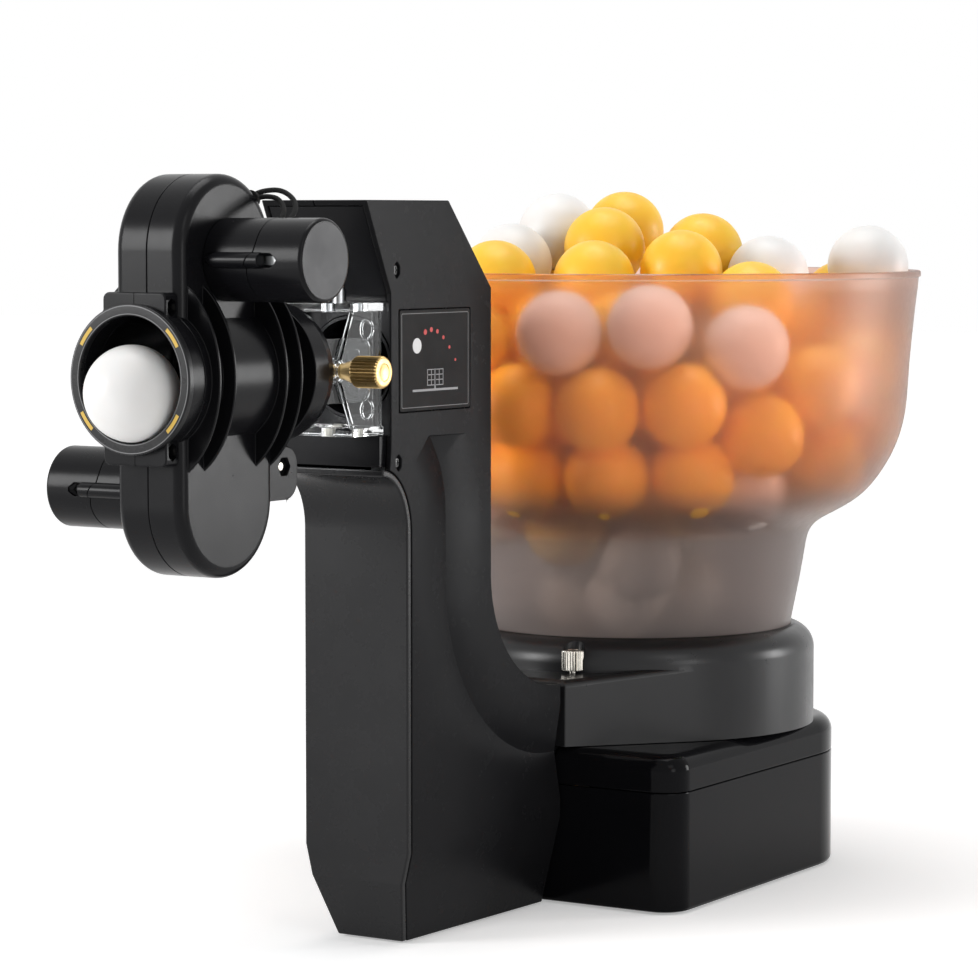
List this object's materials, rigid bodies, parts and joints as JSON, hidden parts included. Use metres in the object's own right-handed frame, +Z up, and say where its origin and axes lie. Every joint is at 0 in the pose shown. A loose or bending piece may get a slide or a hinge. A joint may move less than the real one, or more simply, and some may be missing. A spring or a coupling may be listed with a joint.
{
  "type": "table tennis robot",
  "caption": "Table tennis ball thrower: ball hopper on a feeding base, lifting tower, and a swinging, tilting two-wheel throwing head.",
  "frame": {"origin": "on the surface it stands on, under the middle of its overall length and width", "axes": "+Z up; it throws along -Y, the hopper is at +Y, and the clamp knob is on the +X side"},
  "size_m": [0.2848, 0.5604, 0.343],
  "materials": {
    "satin_black": "fine-grained satin black plastic",
    "cover_black": "satin grey-black plastic",
    "gloss_black": "glossy black plastic",
    "smoky": "translucent smoky plastic",
    "clear": "clear moulded plastic",
    "brass": "bright brass, knurled",
    "nickel": "nickel plated, knurled",
    "steel": "plain steel",
    "rubber": "black rubber",
    "soft_tyre": "soft grey foam rubber",
    "nylon": "natural nylon",
    "label_plate": "printed plastic plate",
    "board_green": "printed circuit board",
    "ball_white": "matt white celluloid-like plastic"
  },
  "bodies": {
    "base": {"base_tray": "gloss_black", "base_cover": "gloss_black", "feed_housing": "gloss_black", "hopper_seat": "rubber", "hopper": "smoky", "feed_chamber": "satin_black", "feed_motor": "steel", "control_board": "board_green", "power_inlet": "satin_black", "switch_frame": "satin_black", "rubber_foot_1": "rubber", "rubber_foot_2": "rubber", "rubber_foot_3": "rubber", "rubber_foot_4": "rubber", "tower_cover": "cover_black", "tower_shell_right": "satin_black", "tower_shell_left": "satin_black", "turret": "satin_black", "label_plate_right": "label_plate", "tower_screw_right_1": "steel", "tower_screw_right_2": "steel", "tower_screw_left_1": "steel", "tower_screw_left_2": "steel", "tower_foot_1": "rubber", "tower_foot_2": "rubber", "duct_bend": "satin_black", "duct_elbow": "satin_black", "swing_motor": "steel"},
    "rotor": {"feed_rotor": "nylon"},
    "thumbscrew": {"thumbscrew": "nickel"},
    "rocker": {"switch_rocker": "gloss_black"},
    "pinion": {"swing_pinion": "nylon"},
    "swing": {"swing_gear": "nylon", "swing_frame": "clear", "swing_pin": "steel"},
    "tilt": {"tilt_yoke": "clear", "collar": "satin_black", "tilt_pin": "steel"},
    "knob": {"clamp_knob": "brass"},
    "head": {"casing_right": "satin_black", "casing_left": "satin_black", "nozzle_block_right": "satin_black", "nozzle_block_left": "satin_black", "nozzle_ring": "satin_black", "upper_motor_sleeve": "satin_black", "upper_motor_cap": "satin_black", "upper_motor": "steel", "lower_motor_sleeve": "satin_black", "lower_motor_cap": "satin_black", "lower_motor": "steel", "motor_lead_1": "rubber", "motor_lead_2": "rubber", "ball_in_nozzle": "ball_white"},
    "upper_wheel": {"upper_wheel_hub": "nylon", "upper_wheel_tyre": "soft_tyre"},
    "lower_wheel": {"lower_wheel_hub": "nylon", "lower_wheel_tyre": "soft_tyre"}
  },
  "joints": [
    {"name": "head_swing", "type": "hinge", "parent": "base", "child": "swing", "pos_m": [0, -0.1142, 0.259], "axis": [0, 0, 1], "range_deg": [-20, 20]},
    {"name": "pinion_turn", "type": "hinge", "parent": "base", "child": "pinion", "pos_m": [0.009, -0.09222, 0.222], "axis": [0, 0, 1], "range_deg": [-44, 44]},
    {"name": "head_tilt", "type": "hinge", "parent": "swing", "child": "tilt", "pos_m": [0, -0.1472, 0.259], "axis": [1, 0, 0], "range_deg": [-20, 20]},
    {"name": "knob_turn", "type": "hinge", "parent": "tilt", "child": "knob", "pos_m": [0.03, -0.1472, 0.259], "axis": [1, 0, 0], "range_deg": [-180, 180]},
    {"name": "head_roll", "type": "hinge", "parent": "tilt", "child": "head", "pos_m": [0, -0.2182, 0.259], "axis": [0, 1, 0], "range_deg": [-180, 180]},
    {"name": "upper_wheel_spin", "type": "hinge", "parent": "head", "child": "upper_wheel", "pos_m": [0, -0.2182, 0.3075], "axis": [1, 0, 0], "continuous": true},
    {"name": "lower_wheel_spin", "type": "hinge", "parent": "head", "child": "lower_wheel", "pos_m": [0, -0.2182, 0.2105], "axis": [1, 0, 0], "continuous": true},
    {"name": "feed_turn", "type": "hinge", "parent": "base", "child": "rotor", "pos_m": [0, 0.1378, 0.078], "axis": [0, 0, 1], "continuous": true},
    {"name": "thumbscrew_turn", "type": "hinge", "parent": "base", "child": "thumbscrew", "pos_m": [0.02, 0.0498, 0.112], "axis": [0, 0, 1], "range_deg": [-180, 180]},
    {"name": "power_switch", "type": "hinge", "parent": "base", "child": "rocker", "pos_m": [-0.01, 0.2371, 0.032], "axis": [1, 0, 0], "range_deg": [-16, 0]}
  ],
  "couplings": [
    {"joint": "pinion_turn", "follows": "head_swing", "ratio": -2.1667}
  ]
}
